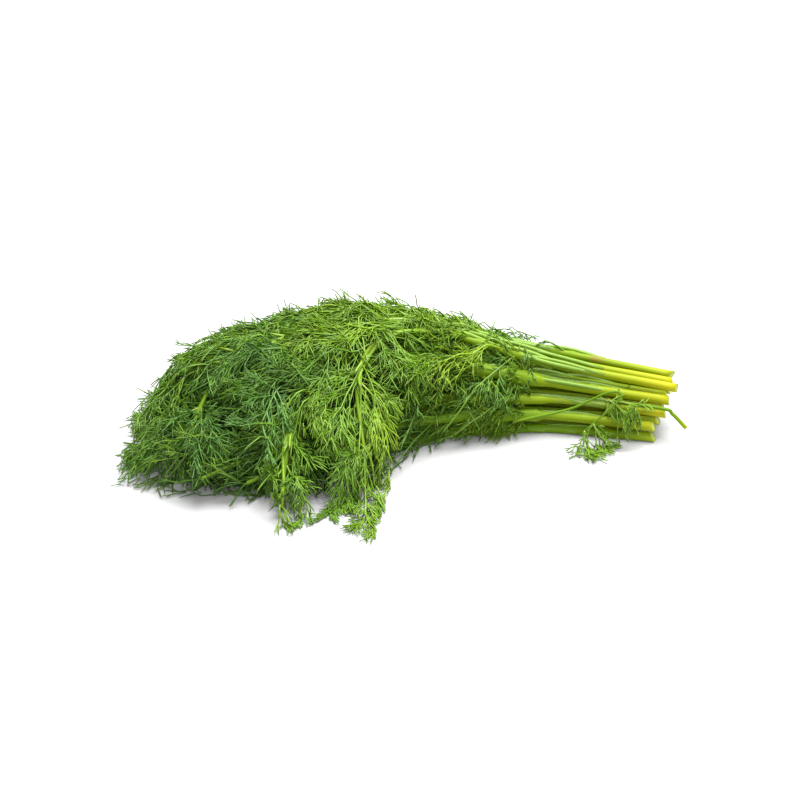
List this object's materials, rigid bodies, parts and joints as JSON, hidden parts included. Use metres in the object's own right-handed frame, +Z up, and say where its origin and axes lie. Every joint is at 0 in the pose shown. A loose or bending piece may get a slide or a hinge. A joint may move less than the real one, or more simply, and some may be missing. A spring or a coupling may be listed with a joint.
{
  "type": "dill bunch",
  "caption": "Fresh dill lying on its side: a bundle of bare cut stalks that fans out into a low heap of feathery, thread-like fronds, some draped over the front",
  "frame": {"origin": "under the middle of the whole bunch, on the table plane that the lowest stalks rest on", "axes": "+X points along the bundle towards the cut ends of the stalks, -Y is the front that two leafy stems drape over, +Z is up"},
  "size_m": [0.2873, 0.1908, 0.063],
  "materials": {
    "dill_frond": "soft matte leaf, blue-green to yellow-green",
    "dill_stalk": "smooth, slightly waxy stalk, yellow-green, paler at the cut"
  },
  "bodies": {
    "root": {"stem_01": "dill_frond", "stem_02": "dill_frond", "stem_03": "dill_frond", "stem_04": "dill_frond", "stem_05": "dill_frond", "stem_06": "dill_frond", "stem_07": "dill_frond", "stem_08": "dill_frond", "stem_09": "dill_frond", "stem_10": "dill_frond", "stem_11": "dill_frond", "stem_12": "dill_frond", "stem_13": "dill_frond", "stem_14": "dill_frond", "stem_15": "dill_frond", "stem_16": "dill_frond", "stem_17": "dill_frond", "stem_18": "dill_frond", "stem_19": "dill_frond", "stem_20": "dill_frond", "stem_21": "dill_frond", "stem_22": "dill_frond", "stem_23": "dill_frond", "stem_24": "dill_frond", "thin_stem": "dill_stalk", "stray_leaf": "dill_frond"}
  },
  "joints": []
}
